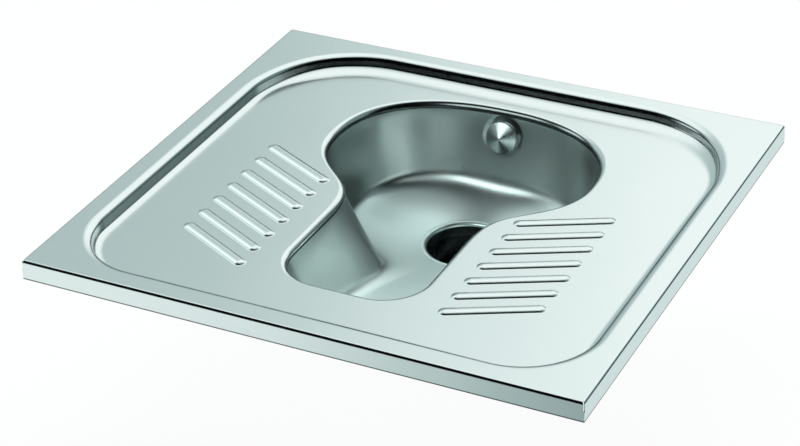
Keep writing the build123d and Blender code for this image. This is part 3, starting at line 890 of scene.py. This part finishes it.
def add_bowl_fields(piece):
    """Where the finish is dull, where it is a wall's and takes painted shade, and coordinates round the bowl
    and down its walls.
    """
    mesh = piece.data
    places = np.zeros(len(mesh.vertices) * 3)
    mesh.vertices.foreach_get("co", places)
    x, y, z = places.reshape(-1, 3).T / MM
    normals = np.zeros(len(mesh.vertices) * 3)
    mesh.vertices.foreach_get("normal", normals)
    upward = np.abs(normals.reshape(-1, 3)[:, 2])
    dull = np.clip((z - OUTLET_Z + LIP_BEND) / LIP_BEND, 0, 1)
    mesh.attributes.new("dull", "FLOAT", "POINT").data.foreach_set("value", dull)
    wall = np.clip((FLOOR_FACING - upward) / WALL_EASE, 0, 1) * dull
    mesh.attributes.new("wall", "FLOAT", "POINT").data.foreach_set("value", wall)
    turn = np.arctan2(y - OUTLET_Y, x)
    down = (FLOOR_Z - z) / STREAK_LENGTH
    run = np.stack([STREAKS * np.cos(turn), STREAKS * np.sin(turn), down], axis=1)
    mesh.attributes.new("run", "FLOAT_VECTOR", "POINT").data.foreach_set("vector", run.ravel())


# The CAD's own pieces get the material of their slot. The spigot is painted darker, as the shade inside a
# drain.
node_slots = {part["node"]: part["material_slot"] for part in frame["record"]["subparts"]}
for name, node in frame["nodes"].items():
    node.data.materials.clear()
    node.data.materials.append(materials["spigot_shade_steel" if name == "outlet_spigot" else node_slots[name]])

flats, pressed, rim = deck_patches()
satin = materials["satin_steel"]
deck = build_piece("deck_sheet", flats, satin, "pan")
forms = build_piece("pressed_forms", pressed, satin, "pan")
rim_bend = build_piece("rim_bend", rim, satin, "pan")
for piece in (deck, forms, rim_bend):
    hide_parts("deck_panel")
bowl = build_piece("bowl_shell", bowl_patches(), materials["drawn_steel"], "pan")
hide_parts("bowl")
add_bowl_fields(bowl)
turned = materials["turned_steel"]
head = build_piece("spray_cap", spray_head_patches(), turned, "spray_head")
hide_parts("spray_head")


# ---------------------------------------------------------------- studio

# The photo's view, in metres, degrees, and millimetres for the lens
CAMERA_PLACE = (1.0979, -2.1587, 1.4112)
CAMERA_AZIMUTH = 27.50
CAMERA_ELEVATION = 31.02
CAMERA_ROLL = -2.17
CAMERA_LENS = 105.34

# The floor's own light, its shade of grey, and half its width in metres. Towards the soil pipe it is painted
# dark, as the shade down the pipe, between these distances from the outlet's axis. The disc of painted shade
# there is smaller than the outlet and lies above the floor, by these millimetres.
FLOOR_LIGHT = 0.93
FLOOR_SHADE = 0.15
FLOOR_HALF = 30.0
PIPE_SHADE_EDGE = (0.052, 0.060)
DRAIN_SHADE_COLOR = (0.004, 0.005, 0.006)
DRAIN_MARGIN = 5.0
DRAIN_LIFT = 4.0

# The room that the steel mirrors, as brightness by direction: x to the right, y to the rear, z up, each from
# -1 to 1. A pair is where something starts and where it is full, and two more values are its brightness at
# both. The thin strip lies between its first two heights and the card between its angles in degrees. The
# strip's third value and the card's ease, in radians, are how soft their edges are.
WALL_Y = (-0.03, 0.24)
WALL_Z = (0.05, 0.32)
WALL_FIRST_STEP = (-0.47, -0.36, 0.68, 1.08)
WALL_SECOND_STEP = (-0.35, -0.29, 0.0, 0.16)
STRIP_Z = (0.518, 0.540, 0.014)
STRIP_X = (-0.335, -0.30)
STRIP_LIGHT = 0.25
OVERHEAD_Z = (0.60, 0.72)
OVERHEAD_LIGHT = 1.28
WALL_END_SLANT = 0.62
WALL_END = (-0.20, 0.02, 1.0, 0.22)
CARD_AZIMUTHS = (-124, -98)
CARD_ELEVATIONS = (12, 36)
CARD_EASE = 0.07
CARD_LIGHT = 0.9
GROUND_FRONT = (-0.46, -0.28, 1.16, 0.38)
GROUND_REAR_Y = (-0.2, 0.2)
GROUND_REAR_LIGHT = 0.95
GROUND_Z = (-0.06, -0.40)
# The room's dark parts are cooler than its bright ones
DARK_TINT = (0.66, 1.0, 1.0)
BRIGHT_TINT = (0.965, 1.0, 0.985)
TINT_GAIN = 0.71

BOX_COLOR = (0.84, 1.0, 0.99)
BOX_AIM = (0, 0.15, -0.05)


def make_camera():
    """The photo's view of the pan."""
    azimuth, elevation = math.radians(CAMERA_AZIMUTH), math.radians(CAMERA_ELEVATION)
    level = math.cos(elevation)
    forward = Vector((-math.sin(azimuth) * level, math.cos(azimuth) * level, -math.sin(elevation)))
    right = Vector((math.cos(azimuth), math.sin(azimuth), 0))
    up = right.cross(forward)
    roll = math.radians(CAMERA_ROLL)
    rolled_right = right * math.cos(roll) + up * math.sin(roll)
    rolled_up = up * math.cos(roll) - right * math.sin(roll)
    data = bpy.data.cameras.new("camera")
    data.lens = CAMERA_LENS
    data.sensor_width = 36
    data.clip_end = 50
    camera = bpy.data.objects.new("camera", data)
    turn = Matrix((rolled_right, rolled_up, -forward)).transposed().to_4x4()
    camera.matrix_world = Matrix.Translation(CAMERA_PLACE) @ turn
    bpy.context.scene.collection.objects.link(camera)
    bpy.context.scene.camera = camera


class Field:
    """Arithmetic on a shader tree's sockets."""

    def __init__(self, tree):
        self.tree = tree

    def put(self, node, values):
        for number, value in enumerate(values):
            if isinstance(value, bpy.types.NodeSocket):
                self.tree.links.new(value, node.inputs[number])
            else:
                node.inputs[number].default_value = value
        return node.outputs[0]

    def math(self, operation, *values):
        node = self.tree.nodes.new("ShaderNodeMath")
        node.operation = operation
        return self.put(node, values)

    def add(self, *values):
        result = values[0]
        for value in values[1:]:
            result = self.math("ADD", result, value)
        return result

    def product(self, *values):
        result = values[0]
        for value in values[1:]:
            result = self.math("MULTIPLY", result, value)
        return result

    def ramp(self, value, start, end, low=0.0, high=1.0):
        """From low to high while the value goes from start to end, level at both."""
        node = self.tree.nodes.new("ShaderNodeMapRange")
        node.interpolation_type = "SMOOTHSTEP"
        return self.put(node, (value, start, end, low, high))

    def window(self, value, low, high, soft):
        """Full between two values, with soft edges."""
        rising = self.ramp(value, low - soft, low + soft)
        falling = self.ramp(value, high - soft, high + soft, 1.0, 0.0)
        return self.math("MULTIPLY", rising, falling)

    def mixed(self, share, first, second):
        """The first value where the share is 0, the second where it is 1."""
        return self.add(self.product(first, self.math("SUBTRACT", 1.0, share)), self.product(share, second))


def flat_face(name, corners, material):
    """One level face through a ring of corners."""
    mesh = bpy.data.meshes.new(name)
    mesh.from_pydata(corners, [], [tuple(range(len(corners)))])
    mesh.materials.append(material)
    face = bpy.data.objects.new(name, mesh)
    bpy.context.scene.collection.objects.link(face)
    return face


def make_floor():
    """A pale floor that glows, so that the pan throws no hard shadow. Reflections don't show it."""
    material, shader = new_material("floor_white", 0.0, (FLOOR_SHADE,) * 3, 0.9)
    shader.inputs["Emission Color"].default_value = (1, 1, 1, 1)
    tree = material.node_tree
    field = Field(tree)
    place = tree.nodes.new("ShaderNodeNewGeometry")
    split = tree.nodes.new("ShaderNodeSeparateXYZ")
    tree.links.new(place.outputs["Position"], split.inputs[0])
    x, y, _ = split.outputs
    from_outlet = field.math("SUBTRACT", y, OUTLET_Y * MM)
    squares = field.add(field.product(x, x), field.product(from_outlet, from_outlet))
    # Painted shade: the floor goes dark near the outlet's axis, down the soil pipe
    pale = field.ramp(field.math("SQRT", squares), *PIPE_SHADE_EDGE)
    tree.links.new(field.product(pale, FLOOR_LIGHT), shader.inputs["Emission Strength"])
    tree.links.new(field.product(pale, FLOOR_SHADE), shader.inputs["Base Color"])
    # From below the floor can be seen through
    clear = tree.nodes.new("ShaderNodeBsdfTransparent")
    mix = tree.nodes.new("ShaderNodeMixShader")
    tree.links.new(place.outputs["Backfacing"], mix.inputs["Fac"])
    tree.links.new(shader.outputs[0], mix.inputs[1])
    tree.links.new(clear.outputs[0], mix.inputs[2])
    tree.links.new(mix.outputs[0], tree.nodes["Material Output"].inputs["Surface"])
    half, z = FLOOR_HALF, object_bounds()[0][2]
    corners = [(-half, -half, z), (half, -half, z), (half, half, z), (-half, half, z)]
    floor = flat_face("floor", corners, material)
    floor.visible_glossy = False
    floor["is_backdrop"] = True


def make_drain_shade():
    """A disc of painted shade below the outlet, where the soil pipe is dark."""
    turn = np.linspace(0, 2 * math.pi, DRAIN_STEPS, endpoint=False)
    radius = (OUTLET_RADIUS - DRAIN_MARGIN) * MM
    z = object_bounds()[0][2] + DRAIN_LIFT * MM
    ring = [(radius * math.cos(t), OUTLET_Y * MM + radius * math.sin(t), z) for t in turn]
    material, _ = new_material("drain_shade_dark", 0.0, DRAIN_SHADE_COLOR, 0.8)
    drain = flat_face("drain", ring, material)
    drain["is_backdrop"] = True


def back_wall(field, x, y, z):
    """The bright wall behind the pan: two steps up to the right, a thin strip, and full light overhead."""
    steps = field.add(field.ramp(x, *WALL_FIRST_STEP), field.ramp(x, *WALL_SECOND_STEP))
    strip = field.product(field.window(z, *STRIP_Z), field.ramp(x, *STRIP_X), STRIP_LIGHT)
    tone = field.mixed(field.ramp(z, *OVERHEAD_Z), field.add(steps, strip), OVERHEAD_LIGHT)
    there = field.product(field.ramp(y, *WALL_Y), field.ramp(z, *WALL_Z))
    past_end = field.math("SUBTRACT", x, field.product(y, WALL_END_SLANT))
    return field.product(there, tone, field.ramp(past_end, *WALL_END))


def left_card(field, x, y, z):
    """A bright card low on the left."""
    azimuths = [math.radians(angle) for angle in CARD_AZIMUTHS]
    elevations = [math.radians(angle) for angle in CARD_ELEVATIONS]
    across = field.window(field.math("ARCTAN2", x, y), *azimuths, CARD_EASE)
    upright = field.window(field.math("ARCSINE", z), *elevations, CARD_EASE)
    return field.product(across, upright, CARD_LIGHT)


def ground(field, x, y, z):
    """What lies below the horizon, in front of the pan and behind it."""
    front = field.ramp(x, *GROUND_FRONT)
    light = field.mixed(field.ramp(y, *GROUND_REAR_Y), front, GROUND_REAR_LIGHT)
    return field.product(light, field.ramp(z, *GROUND_Z))


def make_world():
    """A bright wall behind the pan, up to overhead, with a dark room in front of it."""
    world = bpy.data.worlds.new("studio")
    bpy.context.scene.world = world
    world.use_nodes = True
    tree = world.node_tree
    field = Field(tree)
    way = tree.nodes.new("ShaderNodeTexCoord")
    split = tree.nodes.new("ShaderNodeSeparateXYZ")
    tree.links.new(way.outputs["Generated"], split.inputs[0])
    total = field.add(*(part(field, *split.outputs) for part in (back_wall, left_card, ground)))
    tint = tree.nodes.new("ShaderNodeMix")
    tint.data_type = "RGBA"
    tint.inputs["A"].default_value = (*DARK_TINT, 1)
    tint.inputs["B"].default_value = (*BRIGHT_TINT, 1)
    tree.links.new(field.product(total, TINT_GAIN), tint.inputs["Factor"])
    background = tree.nodes["Background"]
    tree.links.new(tint.outputs["Result"], background.inputs["Color"])
    tree.links.new(total, background.inputs["Strength"])


def make_box(name, pieces, azimuth, elevation, distance, width, height, energy):
    """A soft box that only some pieces see. Angles are in degrees, lengths in metres, energy in watts."""
    data = bpy.data.lights.new(name, "AREA")
    data.shape = "RECTANGLE"
    data.size = width
    data.size_y = height
    data.energy = energy
    data.color = BOX_COLOR
    lamp = bpy.data.objects.new(name, data)
    turn, rise = math.radians(azimuth), math.radians(elevation)
    way = Vector((math.sin(turn) * math.cos(rise), math.cos(turn) * math.cos(rise), math.sin(rise)))
    facing = way.to_track_quat("Z", "Y").to_matrix().to_4x4()
    lamp.matrix_world = Matrix.Translation(Vector(BOX_AIM) + way * distance) @ facing
    bpy.context.scene.collection.objects.link(lamp)
    lamp.visible_camera = False
    lamp.light_linking.receiver_collection = pieces


def only(name, *pieces):
    """A collection of the pieces that a light is for."""
    collection = bpy.data.collections.new(name)
    for piece in pieces:
        collection.objects.link(piece)
    return collection


bowl_only = only("bowl_only", bowl, head)
deck_only = only("deck_only", deck)
rim_only = only("rim_only", rim_bend)
make_box("front_box", bowl_only, -156, 42, 1.2, 0.85, 0.42, 3.6)
make_box("rim_box", rim_only, -156, 42, 1.2, 0.85, 0.6, 1.4)
make_box("left_box", bowl_only, -82, 34, 1.2, 0.6, 0.5, 2.5)
make_box("back_box", bowl_only, -14, 52, 1.2, 1.2, 0.34, 3.4)
make_box("side_box", bowl_only, -54, 18, 1.2, 0.5, 0.3, 4.0)
make_box("fill_box", bowl_only, 150, 54, 1.2, 0.7, 0.5, 0.6)
make_box("room_front_left", deck_only, -150, 30, 4.0, 4.0, 3.6, 26)
make_box("room_front_right", deck_only, 150, 30, 4.0, 4.0, 3.6, 26)
make_box("room_left", deck_only, -97, 28, 4.0, 3.6, 3.6, 26)
make_box("room_right", deck_only, 75, 30, 4.0, 4.0, 3.6, 26)
make_camera()
make_floor()
make_drain_shade()
make_world()
bpy.context.scene.view_settings.view_transform = "Standard"
